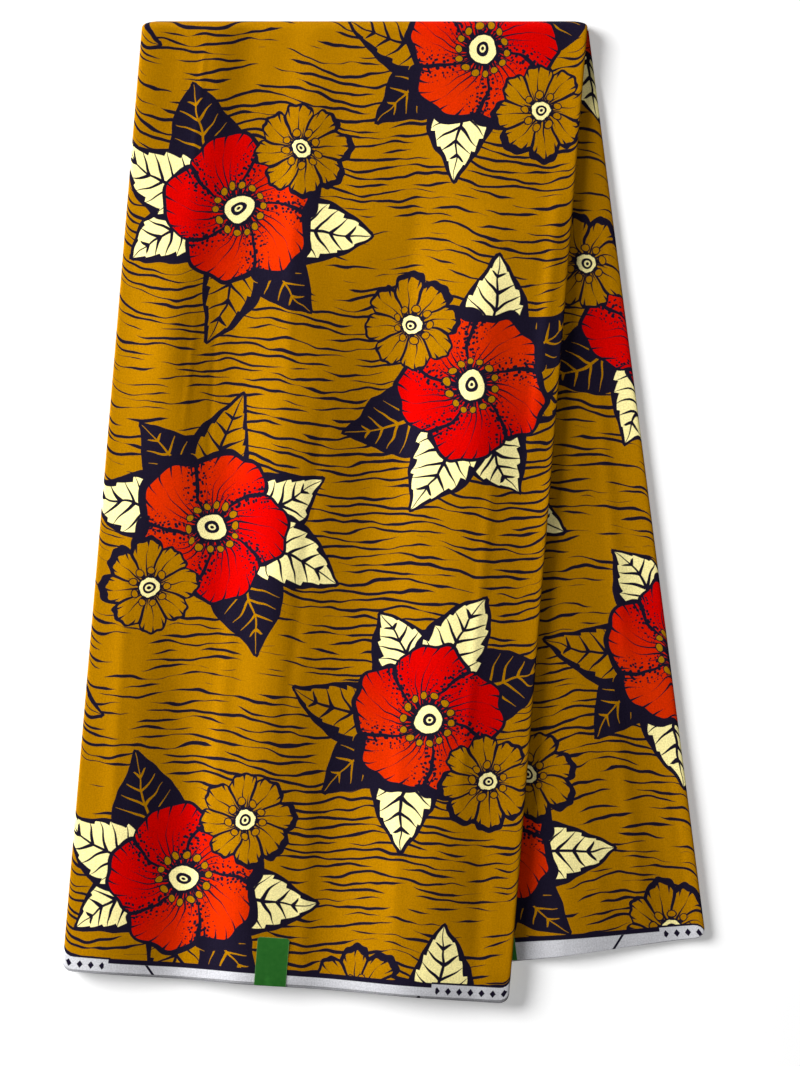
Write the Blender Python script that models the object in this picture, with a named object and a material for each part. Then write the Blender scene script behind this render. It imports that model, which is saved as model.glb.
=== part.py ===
"""A six yard length of wax print cotton, folded to a long strip and doubled over at the middle.

The cloth is woven 1.17 m wide and folded to and fro along its length into a strip of twenty layers.
The strip is doubled over at the top, and its two tails fan out as they lie: the front tail runs down
to the left, on top, and the back tail runs down to the right, under it. Both end in the selvedges.

Every solid is a block of that one strip, so all are read from one function, strip_point, of
  across   the distance from the strip's left side,
  station  a place on the way from the front hem, up over the fold and down to the back hem,
  depth    the distance into the stack of layers, from its outer face to its inner one.
X runs to the right, Y up the cloth and Z up from the surface it lies on. Lengths are in metres.
"""

import math
from collections import namedtuple

import bmesh
import bpy

# The strip: the cloth's width is the way from hem to hem, over the fold
CLOTH_WIDTH = 1.17
STRIP_WIDTH = 0.2714
FOLD_WIDTH = 0.2723
Side = namedtuple("Side", "tilt length")
Tail = namedtuple("Tail", "left right hem_bulge")
FRONT = Tail(
    left=Side(tilt=math.radians(-4.85), length=0.5835),
    right=Side(tilt=math.radians(-4.63), length=0.6035),
    hem_bulge=0.0,
)
BACK = Tail(
    left=Side(tilt=math.radians(7.35), length=CLOTH_WIDTH - FRONT.left.length),
    right=Side(tilt=math.radians(7.35), length=CLOTH_WIDTH - FRONT.right.length),
    hem_bulge=0.0058,
)

# The stack of layers in each tail: a wall, the hidden layers and another wall
WALL = 0.0010
SEAM_GAP = 0.00035
SKIN = WALL + SEAM_GAP
HIDDEN_LAYERS = 0.0037
STACK = SKIN + HIDDEN_LAYERS + SKIN
GAP_AT_FOLD = 0.0003
GAP_AT_HEM = 0.0011

# The turn at the top is a half round, pressed flatter along Y
TURN_PRESS = 0.86
TURN_RADIUS = STACK + GAP_AT_FOLD / 2
TURN_START = TURN_PRESS * TURN_RADIUS
TOP_CORNER = 0.0052
TOP_CORNER_SHARE = 0.65

# Hems and sides
HEM_CORNER = 0.006
SHOULDER = 0.0024
SHOULDER_DROP = 0.0006
WALL_ROUNDING = 0.0003
SIDE_FOLDS = 5
SIDE_FOLD_DEPTH = 0.0007
SIDE_FOLD_UNEVEN = 0.0003

# Beside the back tail and past its hem, the front tail sinks to the surface. Its top settles less,
# and more so further down, as its layers lie loose there
SINK_START = 0.004
SINK_LENGTH = 0.058
TOP_SINK_LENGTH = 0.032
TOP_SETTLES = 0.45
SETTLED_DOWN = 0.50

# Soft folds along the tails: the heights of their crests and troughs at the fold, half way down
# and at the hem
Fold = namedtuple("Fold", "across top middle hem")
FRONT_FOLDS = (
    Fold(across=0.000, top=0.0042, middle=0.0030, hem=0.0050),
    Fold(across=0.025, top=0.0034, middle=0.0046, hem=0.0064),
    Fold(across=0.072, top=0.0000, middle=0.0002, hem=0.0004),
    Fold(across=0.109, top=0.0006, middle=0.0054, hem=0.0046),
    Fold(across=0.160, top=0.0000, middle=0.0005, hem=0.0000),
    Fold(across=0.218, top=0.0016, middle=0.0058, hem=0.0072),
    Fold(across=0.258, top=0.0016, middle=0.0024, hem=0.0040),
    Fold(across=STRIP_WIDTH + 0.006, top=0.0024, middle=0.0036, hem=0.0036),
)
FRONT_DRIFT = 0.003
FRONT_DRIFT_LENGTH = 0.47
BACK_FOLDS = (
    Fold(across=0.000, top=0.0, middle=0.0, hem=0.0),
    Fold(across=STRIP_WIDTH - 0.130, top=0.0, middle=0.0, hem=0.0),
    Fold(across=STRIP_WIDTH - 0.088, top=0.0, middle=0.0020, hem=0.0036),
    Fold(across=STRIP_WIDTH - 0.020, top=0.0, middle=0.0002, hem=0.0002),
    Fold(across=STRIP_WIDTH + 0.004, top=0.0, middle=0.0010, hem=0.0022),
)
FOLDS_MIDDLE = 0.26
FOLDS_HEM = 0.54
CLEAR_OF_FRONT = 0.032

# The paper labels over the hems, at the same place in the strip
LABEL_WIDTH = 0.0192
LABEL_LENGTH = 0.0297
LABEL_THICK = 0.0004
LABEL_GAP = 0.0003
FRONT_LABEL_LEFT = 0.1167
BACK_LABEL_LEFT = 0.1353

# The grid that the layers share
EDGE_STEPS = (0.0, 0.0012, 0.0036, 0.0095)
MIDDLE_STEPS = 22
HEM_STEPS = (0.0, 0.006, 0.017, 0.031)
FRONT_STEPS = 13
TURN_STEPS = 8
BACK_STEPS = 12

# A share of the way down a tail, or an angle round the turn where there is no tail
Station = namedtuple("Station", "tail value")
Rim = namedtuple("Rim", "depth inset")


def smooth(share):
    """An even rise from 0 to 1."""
    share = min(1.0, max(0.0, share))
    return share * share * (3 - 2 * share)


def mix(start, end, share):
    return start + (end - start) * share


def spread(start, end, steps):
    """Even values from start to end, both included."""
    return [mix(start, end, i / steps) for i in range(steps + 1)]


def corner_cut(inside, radius):
    """How far a rounded corner falls short of its square one, at that distance from the side."""
    short = radius - min(radius, max(0.0, inside))
    return radius - math.sqrt(radius**2 - short**2)


def from_side(across):
    """The distance from the nearer side of the strip."""
    return max(0.0, min(across, STRIP_WIDTH - across))


def fold_height(folds, across, down):
    """The height of soft folds that rise and fall evenly between crests and troughs."""
    across = min(max(across, folds[0].across), folds[-1].across)
    low, high = next(pair for pair in zip(folds, folds[1:]) if across <= pair[1].across)
    share = smooth((across - low.across) / (high.across - low.across))
    top, middle, hem = (mix(start, end, share) for start, end in zip(low[1:], high[1:]))
    upper = mix(top, middle, smooth(down / FOLDS_MIDDLE))
    return mix(upper, hem, smooth((down - FOLDS_MIDDLE) / (FOLDS_HEM - FOLDS_MIDDLE)))


def tail_length(tail, across):
    """The length of a tail's column, from the top of the fold to its hem."""
    share = min(1.0, max(0.0, across / STRIP_WIDTH))
    length = mix(tail.left.length, tail.right.length, share)
    length += tail.hem_bulge * math.sin(math.pi * share) ** 1.5
    return length - corner_cut(from_side(across), HEM_CORNER)


def tail_plan(tail, across, down):
    """(x, y) at a distance down a tail."""
    share = across / STRIP_WIDTH
    tilt = mix(tail.left.tilt, tail.right.tilt, share)
    return share * FOLD_WIDTH + down * math.sin(tilt), -down * math.cos(tilt)


def clear_of_back_tail(x, y):
    """How far a point lies outside the back tail, to its left or past its hem."""
    along_fold = x + y * math.tan(BACK.left.tilt)
    beside = -along_fold * math.cos(BACK.left.tilt)
    past_hem = -y / math.cos(BACK.left.tilt) - tail_length(BACK, along_fold / FOLD_WIDTH * STRIP_WIDTH)
    return math.hypot(max(0.0, beside), max(0.0, past_hem))


def front_heights(across, x, y, down):
    """(top, bottom) of the front tail, which lies on the back tail and sinks to the surface beside it."""
    lift = STACK + mix(GAP_AT_FOLD, GAP_AT_HEM, smooth(down / FRONT.left.length))
    beyond = clear_of_back_tail(x, y) - SINK_START
    bottom = lift * (1 - smooth(beyond / SINK_LENGTH))
    settled = TOP_SETTLES * smooth(down / SETTLED_DOWN) * smooth(beyond / TOP_SINK_LENGTH)
    drift = FRONT_DRIFT * math.sin(2 * math.pi * down / FRONT_DRIFT_LENGTH)
    folds = fold_height(FRONT_FOLDS, across + drift, down)
    return lift * (1 - settled) + STACK + folds, bottom


def back_heights(across, x, y, down):
    """(top, bottom) of the back tail, whose folds rise only where the front tail doesn't lie on it."""
    beside = (x - FOLD_WIDTH + y * math.tan(FRONT.right.tilt)) * math.cos(FRONT.right.tilt)
    bare = smooth(beside / CLEAR_OF_FRONT)
    return STACK + bare * fold_height(BACK_FOLDS, across, down), 0.0


def tail_height(tail, across, x, y, down, depth):
    """The height in a tail. Its walls keep their thickness, and its hidden layers fill the rest."""
    if tail is FRONT:
        top, bottom = front_heights(across, x, y, down)
        below_top = depth
    else:
        top, bottom = back_heights(across, x, y, down)
        below_top = STACK - depth
    top -= SHOULDER_DROP * corner_cut(from_side(across), SHOULDER) / SHOULDER
    if below_top <= SKIN:
        return top - below_top
    if below_top >= STACK - SKIN:
        return bottom + STACK - below_top
    return mix(top - SKIN, bottom + SKIN, (below_top - SKIN) / HIDDEN_LAYERS)


def turn_point(across, angle, depth):
    """A point of the half round at the top, at angle 0 on the front tail and pi on the back tail."""
    tail = FRONT if angle < math.pi / 2 else BACK
    x, _ = tail_plan(tail, across, TURN_START)
    y = -TURN_START
    side = max(0.0, 1 - from_side(across) / TOP_CORNER)
    reach = mix(TOP_CORNER_SHARE, 1.0, math.sqrt(1 - side * side)) * math.sin(angle)
    flat_height = TURN_RADIUS + (TURN_RADIUS - depth) * math.copysign(1.0, math.cos(angle))
    unevenness = tail_height(tail, across, x, y, TURN_START, depth) - flat_height
    height = TURN_RADIUS + (TURN_RADIUS - depth) * math.cos(angle) + unevenness * math.cos(angle) ** 2
    x = mix(x, across / STRIP_WIDTH * FOLD_WIDTH, math.sin(angle))
    return x, y + TURN_PRESS * (TURN_RADIUS - depth) * reach, height


def strip_point(across, station, depth):
    """The place of a point of the folded strip, from the left end of the fold line."""
    if station.tail is None:
        x, y, z = turn_point(across, station.value, depth)
    else:
        down = mix(TURN_START, tail_length(station.tail, across), station.value)
        x, y = tail_plan(station.tail, across, down)
        z = tail_height(station.tail, across, x, y, down, depth)
    towards_middle = 1 - 2 * across / STRIP_WIDTH
    return x + corner_cut(-y, TOP_CORNER) * towards_middle, y, z


def strip_columns():
    """Distances across the strip, closer together at its rounded sides."""
    middle = spread(EDGE_STEPS[-1], STRIP_WIDTH - EDGE_STEPS[-1], MIDDLE_STEPS)
    return list(EDGE_STEPS[:-1]) + middle + [STRIP_WIDTH - step for step in reversed(EDGE_STEPS[:-1])]


def tail_shares(length, steps):
    """Shares of a tail's length from its fold to its hem, closer together at the hem."""
    last = 1 - HEM_STEPS[-1] / length
    return spread(0.0, last, steps)[1:] + [1 - step / length for step in reversed(HEM_STEPS[:-1])]


def strip_stations():
    """Stations from the front hem, up over the fold and down to the back hem."""
    front = [Station(FRONT, share) for share in tail_shares(FRONT.left.length, FRONT_STEPS)]
    turn = [Station(None, angle) for angle in spread(0.0, math.pi, TURN_STEPS)]
    back = [Station(BACK, share) for share in tail_shares(BACK.left.length, BACK_STEPS)]
    return front[::-1] + turn + back


def wall_rims(outer, inner):
    """The edge of a wall: a middle line that stands proud of its two faces."""
    return [Rim(outer, WALL_ROUNDING), Rim((outer + inner) / 2, 0.0), Rim(inner, WALL_ROUNDING)]


def layered_rims(outer, inner):
    """The edge of the hidden layers: folds one above the other, not all as far out."""
    rims = [Rim(outer, SIDE_FOLD_DEPTH)]
    for i in range(SIDE_FOLDS):
        uneven = SIDE_FOLD_UNEVEN * (0.5 + 0.5 * math.sin(2.4 * i + 1))
        rims.append(Rim(mix(outer, inner, (i + 0.5) / SIDE_FOLDS), uneven))
        rims.append(Rim(mix(outer, inner, (i + 1) / SIDE_FOLDS), SIDE_FOLD_DEPTH))
    return rims


def inset_place(columns, stations, i, j, inset):
    """(across, station) of a grid point, which lies inset from the edge if it is on one."""
    across = columns[j]
    if j == 0:
        across += inset
    if j == len(columns) - 1:
        across -= inset
    station = stations[i]
    if i in (0, len(stations) - 1):
        station = Station(station.tail, station.value - inset / station.tail.left.length)
    return across, station


def border(rows, columns):
    """The grid's border points in order, (row, column)."""
    places = [(i, 0) for i in range(rows - 1)]
    places += [(rows - 1, j) for j in range(columns - 1)]
    places += [(i, columns - 1) for i in range(rows - 1, 0, -1)]
    places += [(0, j) for j in range(columns - 1, 0, -1)]
    return places


def add_block(name, columns, stations, rims, material):
    """A closed solid of the strip between the depths of its first and last rim."""
    mesh = bmesh.new()

    def vertex(i, j, rim):
        across, station = inset_place(columns, stations, i, j, rim.inset)
        return mesh.verts.new(strip_point(across, station, rim.depth))

    rows, count = len(stations), len(columns)
    outer = [[vertex(i, j, rims[0]) for j in range(count)] for i in range(rows)]
    inner = [[vertex(i, j, rims[-1]) for j in range(count)] for i in range(rows)]
    ring_places = border(rows, count)
    rings = [[outer[i][j] for i, j in ring_places]]
    rings += [[vertex(i, j, rim) for i, j in ring_places] for rim in rims[1:-1]]
    rings += [[inner[i][j] for i, j in ring_places]]
    for i in range(rows - 1):
        for j in range(count - 1):
            mesh.faces.new((outer[i][j], outer[i][j + 1], outer[i + 1][j + 1], outer[i + 1][j]))
            mesh.faces.new((inner[i][j], inner[i + 1][j], inner[i + 1][j + 1], inner[i][j + 1]))
    for upper, lower in zip(rings, rings[1:]):
        for k in range(len(upper)):
            after = (k + 1) % len(upper)
            mesh.faces.new((upper[k], upper[after], lower[after], lower[k]))
    bmesh.ops.triangulate(mesh, faces=mesh.faces, quad_method="FIXED")
    bmesh.ops.recalc_face_normals(mesh, faces=mesh.faces)
    data = bpy.data.meshes.new(name)
    mesh.to_mesh(data)
    mesh.free()
    data.shade_smooth()
    data.set_sharp_from_angle(angle=math.radians(40))
    data.materials.append(material)
    block = bpy.data.objects.new(name, data)
    bpy.context.scene.collection.objects.link(block)
    return block


def add_label(name, tail, left, outer, inner, material):
    """A paper label that ends at the hem, its points moved out from the cloth's."""
    share = 1 - LABEL_LENGTH / tail_length(tail, left + LABEL_WIDTH / 2)
    stations = [Station(tail, value) for value in spread(share, 1.0, 3)]
    columns = spread(left, left + LABEL_WIDTH, 2)
    if tail is FRONT:
        stations.reverse()
    return add_block(name, columns, stations, [Rim(outer, 0.0), Rim(inner, 0.0)], material)


def make_material(name, colour, roughness):
    material = bpy.data.materials.new(name)
    material.use_nodes = True
    shader = material.node_tree.nodes["Principled BSDF"]
    shader.inputs["Base Color"].default_value = (*colour, 1.0)
    shader.inputs["Roughness"].default_value = roughness
    shader.inputs["Metallic"].default_value = 0.0
    return material


def centre_on_surface(blocks):
    """Moves the origin to the middle of the whole outline, on the surface that the cloth lies on."""
    places = [vertex.co for block in blocks for vertex in block.data.vertices]
    middle_x = (min(place.x for place in places) + max(place.x for place in places)) / 2
    middle_y = (min(place.y for place in places) + max(place.y for place in places)) / 2
    for block in blocks:
        for vertex in block.data.vertices:
            vertex.co.x -= middle_x
            vertex.co.y -= middle_y


def main():
    for old in list(bpy.data.objects):
        bpy.data.objects.remove(old, do_unlink=True)
    printed = make_material("printed cotton", (0.42, 0.17, 0.006), 0.62)
    edges = make_material("cotton edges", (0.72, 0.70, 0.66), 0.75)
    paper = make_material("label paper", (0.012, 0.10, 0.012), 0.45)
    columns = strip_columns()
    stations = strip_stations()
    above = LABEL_GAP + LABEL_THICK
    blocks = [
        add_block("outer_layer", columns, stations, wall_rims(0.0, WALL), printed),
        add_block("folded_layers", columns, stations, layered_rims(SKIN, STACK - SKIN), edges),
        add_block("inner_layer", columns, stations, wall_rims(STACK - WALL, STACK), printed),
        add_label("front_label", FRONT, FRONT_LABEL_LEFT, -above, -LABEL_GAP, paper),
        add_label("back_label", BACK, BACK_LABEL_LEFT, STACK + LABEL_GAP, STACK + above, paper),
    ]
    centre_on_surface(blocks)


main()
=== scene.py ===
"""The looks of a six yard length of wax print cotton, folded to a long strip and doubled over.

The cloth lies flat on a pale floor and is seen from straight above. Its twenty layers are read from
one function, strip_points, as the solids are, of
  across  the distance from the strip's left side,
  way     the place along the strip: -1 at the front hem, 0 to 1 round the turn, 2 at the back hem,
  depth   the distance into the stack of layers, from its outer face to its inner one.
X runs to the right, Y up the cloth and Z up from the floor, in metres. The print is drawn by shader
nodes on the flat cloth, in centimetres.
"""

import math
from collections import namedtuple

import bpy
import numpy as np
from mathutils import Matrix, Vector


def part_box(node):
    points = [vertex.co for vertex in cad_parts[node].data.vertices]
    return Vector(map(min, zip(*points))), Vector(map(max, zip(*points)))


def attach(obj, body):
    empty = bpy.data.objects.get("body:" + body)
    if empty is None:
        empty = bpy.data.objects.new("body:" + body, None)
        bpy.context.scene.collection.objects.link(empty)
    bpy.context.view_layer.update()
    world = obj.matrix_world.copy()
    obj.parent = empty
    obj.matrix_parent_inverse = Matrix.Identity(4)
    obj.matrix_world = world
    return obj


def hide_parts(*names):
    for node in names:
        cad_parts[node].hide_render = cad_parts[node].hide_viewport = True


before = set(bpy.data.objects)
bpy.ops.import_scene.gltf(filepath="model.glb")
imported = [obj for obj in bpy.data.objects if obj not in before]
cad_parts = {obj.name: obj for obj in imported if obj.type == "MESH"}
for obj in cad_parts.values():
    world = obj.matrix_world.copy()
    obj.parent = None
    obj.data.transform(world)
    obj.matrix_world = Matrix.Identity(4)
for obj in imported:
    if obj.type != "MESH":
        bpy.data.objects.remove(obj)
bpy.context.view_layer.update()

# The strip, with the sizes of its solids
CLOTH_WIDTH = 1.17
STRIP_WIDTH = 0.2714
FOLD_WIDTH = 0.2723
Side = namedtuple("Side", "tilt length")
Tail = namedtuple("Tail", "left right hem_bulge")
FRONT = Tail(
    left=Side(tilt=math.radians(-4.85), length=0.5835),
    right=Side(tilt=math.radians(-4.63), length=0.6035),
    hem_bulge=0.0,
)
BACK = Tail(
    left=Side(tilt=math.radians(7.35), length=CLOTH_WIDTH - FRONT.left.length),
    right=Side(tilt=math.radians(7.35), length=CLOTH_WIDTH - FRONT.right.length),
    hem_bulge=0.0058,
)

# The stack of layers in each tail
LAYERS = 20
STACK = 0.0064
SKIN = 0.00135
HIDDEN_LAYERS = STACK - 2 * SKIN
PITCH = STACK / LAYERS
CLOTH_THICK = 0.00027
GAP_AT_FOLD = 0.0003
GAP_AT_HEM = 0.0011

# The turn at the top is a half round, pressed flatter along Y
TURN_PRESS = 0.86
TURN_RADIUS = STACK + GAP_AT_FOLD / 2
TURN_START = TURN_PRESS * TURN_RADIUS
TOP_CORNER = 0.0052
TOP_CORNER_SHARE = 0.65

# Hems and sides
HEM_CORNER = 0.006
SHOULDER = 0.0024
SHOULDER_DROP = 0.0006
EDGE_DEPTH = 0.006
EDGE_ROUND_STEPS = 4

# Beside the back tail and past its hem, the front tail sinks to the floor. Its top settles less,
# and more so further down, as its layers lie loose there
SINK_START = 0.004
SINK_LENGTH = 0.058
TOP_SINK_LENGTH = 0.032
TOP_SETTLES = 0.45
SETTLED_DOWN = 0.50

# Soft folds along the tails: the heights of their crests and troughs at the fold, half way down
# and at the hem
Fold = namedtuple("Fold", "across top middle hem")
FRONT_FOLDS = (
    Fold(across=0.000, top=0.0042, middle=0.0030, hem=0.0050),
    Fold(across=0.025, top=0.0034, middle=0.0046, hem=0.0064),
    Fold(across=0.072, top=0.0000, middle=0.0002, hem=0.0004),
    Fold(across=0.109, top=0.0006, middle=0.0054, hem=0.0046),
    Fold(across=0.160, top=0.0000, middle=0.0005, hem=0.0000),
    Fold(across=0.218, top=0.0016, middle=0.0058, hem=0.0072),
    Fold(across=0.258, top=0.0016, middle=0.0024, hem=0.0040),
    Fold(across=STRIP_WIDTH + 0.006, top=0.0024, middle=0.0036, hem=0.0036),
)
FRONT_DRIFT = 0.003
FRONT_DRIFT_LENGTH = 0.47
BACK_FOLDS = (
    Fold(across=0.000, top=0.0, middle=0.0, hem=0.0),
    Fold(across=STRIP_WIDTH - 0.130, top=0.0, middle=0.0, hem=0.0),
    Fold(across=STRIP_WIDTH - 0.088, top=0.0, middle=0.0020, hem=0.0036),
    Fold(across=STRIP_WIDTH - 0.020, top=0.0, middle=0.0002, hem=0.0002),
    Fold(across=STRIP_WIDTH + 0.004, top=0.0, middle=0.0010, hem=0.0022),
)
FOLDS_MIDDLE = 0.26
FOLDS_HEM = 0.54
CLEAR_OF_FRONT = 0.032

# Creases along the tails, soft ridges and troughs: they run from start to end down the tail
# and lean across it as they go
Crease = namedtuple("Crease", "across start end lean height width")
FRONT_CREASES = (
    Crease(across=0.004, start=-0.06, end=0.10, lean=0.00, height=0.00100, width=0.0160),
    Crease(across=0.056, start=-0.06, end=0.24, lean=-0.08, height=0.00120, width=0.0120),
    Crease(across=0.096, start=-0.06, end=0.17, lean=-0.06, height=-0.00090, width=0.0120),
    Crease(across=0.125, start=0.02, end=0.22, lean=0.00, height=-0.00070, width=0.0130),
    Crease(across=0.174, start=0.11, end=0.33, lean=0.00, height=-0.00140, width=0.0160),
    Crease(across=0.228, start=0.09, end=0.31, lean=0.00, height=0.00150, width=0.0160),
    Crease(across=0.250, start=0.09, end=0.30, lean=0.00, height=0.00130, width=0.0130),
    Crease(across=0.262, start=0.08, end=0.30, lean=0.00, height=0.00100, width=0.0060),
    Crease(across=0.004, start=0.33, end=0.64, lean=0.00, height=0.00080, width=0.0140),
    Crease(across=0.040, start=-0.01, end=0.12, lean=-0.02, height=0.00034, width=0.0015),
    Crease(across=0.048, start=0.16, end=0.27, lean=-0.02, height=0.00032, width=0.0016),
    Crease(across=0.059, start=0.15, end=0.30, lean=0.03, height=-0.00030, width=0.0017),
    Crease(across=0.018, start=0.30, end=0.52, lean=0.02, height=0.00050, width=0.0045),
    Crease(across=0.086, start=0.34, end=0.60, lean=-0.03, height=0.00060, width=0.0050),
    Crease(across=0.098, start=0.05, end=0.24, lean=0.05, height=0.00035, width=0.0040),
    Crease(across=0.131, start=0.22, end=0.47, lean=-0.04, height=-0.00045, width=0.0042),
    Crease(across=0.140, start=0.44, end=0.61, lean=0.03, height=0.00055, width=0.0055),
    Crease(across=0.176, start=0.08, end=0.33, lean=0.02, height=-0.00035, width=0.0060),
    Crease(across=0.190, start=0.38, end=0.60, lean=0.05, height=0.00045, width=0.0050),
    Crease(across=0.236, start=0.26, end=0.50, lean=-0.02, height=0.00050, width=0.0036),
    Crease(across=0.246, start=0.48, end=0.62, lean=0.04, height=-0.00040, width=0.0048),
    Crease(across=0.262, start=0.12, end=0.30, lean=-0.03, height=0.00032, width=0.0030),
)
BACK_CREASES = (
    Crease(across=0.2655, start=0.09, end=0.19, lean=0.01, height=0.00034, width=0.0015),
    Crease(across=0.250, start=0.20, end=0.42, lean=-0.03, height=0.00045, width=0.0042),
    Crease(across=0.232, start=0.36, end=0.58, lean=0.02, height=0.00050, width=0.0050),
    Crease(across=0.262, start=0.44, end=0.57, lean=0.01, height=-0.00035, width=0.0035),
    Crease(across=0.206, start=0.46, end=0.58, lean=0.05, height=0.00040, width=0.0048),
)
CREASE_FADE = 0.05

# Low even ripples across the tails, each a sine by its two lengths
Ripple = namedtuple("Ripple", "height across_length down_length phase")
RIPPLES = (
    Ripple(height=0.00022, across_length=0.083, down_length=0.34, phase=0.6),
    Ripple(height=0.00016, across_length=0.047, down_length=-0.26, phase=2.1),
    Ripple(height=0.00012, across_length=0.120, down_length=0.093, phase=4.0),
)

# How far each tail's layers fall short of the hem or pass it, unevenly and at a slant
TOP_LAYER_SHORT = 0.0016
BACK_LAYERS_SHOW = 0.0026
HEM_UNEVEN = 0.0004
HEM_STEP = 2.4
HEM_SLANT = 0.6
HEM_SLANT_STEP = 1.7
HEM_SLANT_PER_METRE = 37

# How far the folds of the hidden layers lie inside the strip's sides, and how they waver
SIDE_UNEVEN = 0.0002
SIDE_STEP = 2.9
SIDE_WAVER = 0.00008
SIDE_WAVERS = 9

# The paper labels over the hems, each with one inner corner curled up a little
LABEL_WIDTH = 0.0192
LABEL_LENGTH = 0.0297
LABEL_THICK = 0.00025
LABEL_GAP = 0.00012
LABEL_CORNER = 0.0012
FRONT_LABEL_LEFT = 0.1167
BACK_LABEL_LEFT = 0.1353
LABEL_CURL = 0.0005
LABEL_CURL_START = 0.55
LABEL_RIM_ANGLE = math.radians(40)

# The grids
ROW_STEP = 0.0030
COLUMN_STEP = 0.0014
SIDE_STEPS = (0.0, 0.0005, 0.0012, 0.0022, 0.0040, 0.0064)
TURN_STEPS = 14
EDGE_ROW_STEP = 0.006
LABEL_COLUMNS = 15
LABEL_ROWS = 22

# The camera's view, sized by the photograph's pixels
METRES_PER_PIXEL = 0.000612
FRAME_PIXELS = (800, 1066)
FOLD_PIXEL = (143, 20)
SENSOR = 0.036
LENS = 0.135
CLOTH_TOP = 0.013

# The UV map of places on the flat cloth
PRINT_UV = "cloth"


def smooth(share):
    """An even rise from 0 to 1."""
    share = np.clip(share, 0.0, 1.0)
    return share * share * (3 - 2 * share)


def mix(start, end, share):
    """A value, share of the way from start to end."""
    return start + (end - start) * share


def corner_cut(inside, radius):
    """How far a rounded corner falls short of its square one, at that distance from the side."""
    short = radius - np.clip(inside, 0.0, radius)
    return radius - np.sqrt(radius**2 - short**2)


def from_side(across):
    """The distance from the nearer side of the strip."""
    return np.maximum(0.0, np.minimum(across, STRIP_WIDTH - across))


def fold_height(folds, across, down):
    """The height of soft folds that rise and fall evenly between crests and troughs."""
    folds = np.array(folds)
    across = np.clip(across, folds[0, 0], folds[-1, 0])
    low = np.clip(np.searchsorted(folds[:, 0], across, side="right") - 1, 0, len(folds) - 2)
    share = smooth((across - folds[low, 0]) / (folds[low + 1, 0] - folds[low, 0]))
    top, middle, hem = (mix(folds[low, i], folds[low + 1, i], share) for i in (1, 2, 3))
    upper = mix(top, middle, smooth(down / FOLDS_MIDDLE))
    return mix(upper, hem, smooth((down - FOLDS_MIDDLE) / (FOLDS_HEM - FOLDS_MIDDLE)))


def relief(creases, across, down):
    """The height of the creases and ripples of a tail."""
    height = np.zeros(np.broadcast(across, down).shape)
    for crease in creases:
        middle = crease.across + crease.lean * (down - crease.start)
        ends = smooth((down - crease.start) / CREASE_FADE) * smooth((crease.end - down) / CREASE_FADE)
        height += crease.height * ends * np.exp(-(((across - middle) / crease.width) ** 2))
    for ripple in RIPPLES:
        turns = across / ripple.across_length + down / ripple.down_length
        height += ripple.height * np.sin(2 * math.pi * turns + ripple.phase)
    return height


def tail_length(tail, across):
    """The length of a tail's column, from the top of the fold to its hem."""
    share = np.clip(across / STRIP_WIDTH, 0.0, 1.0)
    length = mix(tail.left.length, tail.right.length, share)
    length = length + tail.hem_bulge * np.sin(math.pi * share) ** 1.5
    return length - corner_cut(from_side(across), HEM_CORNER)


def tail_plan(tail, across, down):
    """(x, y) at a distance down a tail."""
    share = across / STRIP_WIDTH
    tilt = mix(tail.left.tilt, tail.right.tilt, share)
    return share * FOLD_WIDTH + down * np.sin(tilt), -down * np.cos(tilt)


def clear_of_back_tail(x, y):
    """How far a point lies outside the back tail, to its left or past its hem."""
    along_fold = x + y * math.tan(BACK.left.tilt)
    beside = -along_fold * math.cos(BACK.left.tilt)
    past_hem = -y / math.cos(BACK.left.tilt) - tail_length(BACK, along_fold / FOLD_WIDTH * STRIP_WIDTH)
    return np.hypot(np.maximum(0.0, beside), np.maximum(0.0, past_hem))


def front_heights(across, x, y, down):
    """(top, bottom) of the front tail, which lies on the back tail and sinks to the floor beside it."""
    lift = STACK + mix(GAP_AT_FOLD, GAP_AT_HEM, smooth(down / FRONT.left.length))
    beyond = clear_of_back_tail(x, y) - SINK_START
    bottom = lift * (1 - smooth(beyond / SINK_LENGTH))
    settled = TOP_SETTLES * smooth(down / SETTLED_DOWN) * smooth(beyond / TOP_SINK_LENGTH)
    drift = FRONT_DRIFT * np.sin(2 * math.pi * down / FRONT_DRIFT_LENGTH)
    folds = fold_height(FRONT_FOLDS, across + drift, down)
    creases = relief(FRONT_CREASES, across, down)
    return lift * (1 - settled) + STACK + folds + creases, bottom


def back_heights(across, x, y, down):
    """(top, bottom) of the back tail, whose folds rise only where the front tail doesn't lie on it."""
    beside = (x - FOLD_WIDTH + y * math.tan(FRONT.right.tilt)) * math.cos(FRONT.right.tilt)
    bare = smooth(beside / CLEAR_OF_FRONT)
    raised = fold_height(BACK_FOLDS, across, down) + relief(BACK_CREASES, across, down)
    return STACK + bare * raised, 0.0


def tail_height(tail, across, x, y, down, depth):
    """The height in a tail. Its walls keep their thickness, and its hidden layers fill the rest."""
    if tail is FRONT:
        top, bottom = front_heights(across, x, y, down)
        below_top = depth
    else:
        top, bottom = back_heights(across, x, y, down)
        below_top = STACK - depth
    top = top - SHOULDER_DROP * corner_cut(from_side(across), SHOULDER) / SHOULDER
    hidden = mix(top - SKIN, bottom + SKIN, (below_top - SKIN) / HIDDEN_LAYERS)
    upper = np.where(below_top <= SKIN, top - below_top, hidden)
    return np.where(below_top >= STACK - SKIN, bottom + STACK - below_top, upper)


def tail_points(tail, across, share, depth, past_hem):
    """Points at shares of the way down a tail, whose layer may pass the hem or fall short of it."""
    down = mix(TURN_START, tail_length(tail, across) + past_hem, share)
    x, y = tail_plan(tail, across, down)
    return x, y, tail_height(tail, across, x, y, down, depth)


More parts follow.
